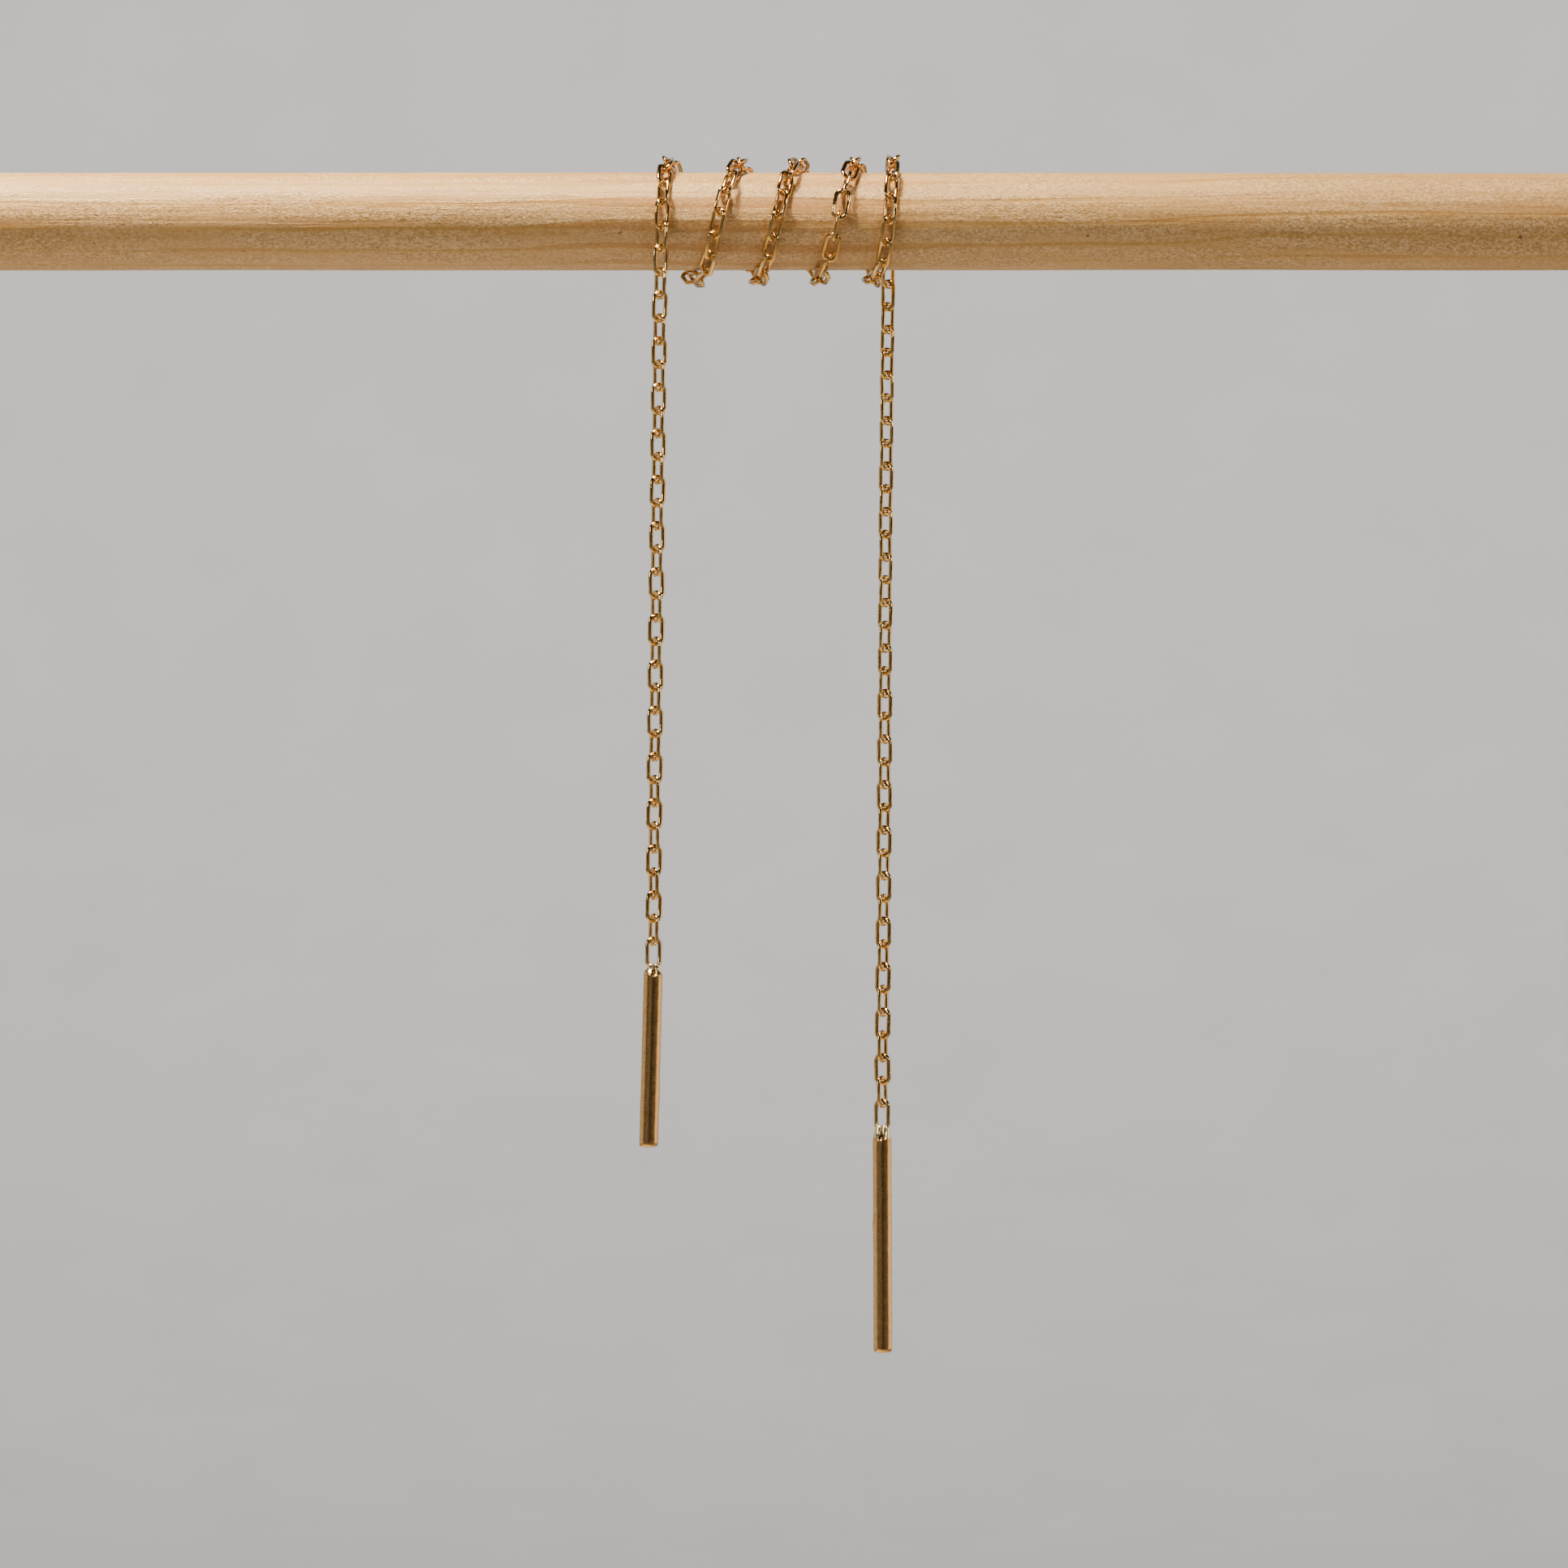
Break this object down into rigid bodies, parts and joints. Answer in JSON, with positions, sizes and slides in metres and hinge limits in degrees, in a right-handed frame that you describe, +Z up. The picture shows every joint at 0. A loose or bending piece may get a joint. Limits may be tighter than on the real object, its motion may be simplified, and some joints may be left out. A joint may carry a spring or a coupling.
{
  "type": "threader earring on a wooden display stick",
  "caption": "Threader earring: a fine gold cable chain with a plain round bar at each end, wound round a wooden stick that holds it up.",
  "frame": {"origin": "middle of the stick's axis, where the stick holds the wound chain up", "axes": "+X along the stick, +Z up; the short bar hangs on the -Y side of the stick, the long bar on the +Y side"},
  "size_m": [0.1, 0.0072, 0.0605],
  "materials": {
    "wood": "raw, sanded smooth",
    "polished_gold": "polished",
    "satin_gold": "satin"
  },
  "bodies": {
    "root": {"stick": "wood", "chain": "polished_gold", "short_bar": "satin_gold", "long_bar": "satin_gold"}
  },
  "joints": []
}
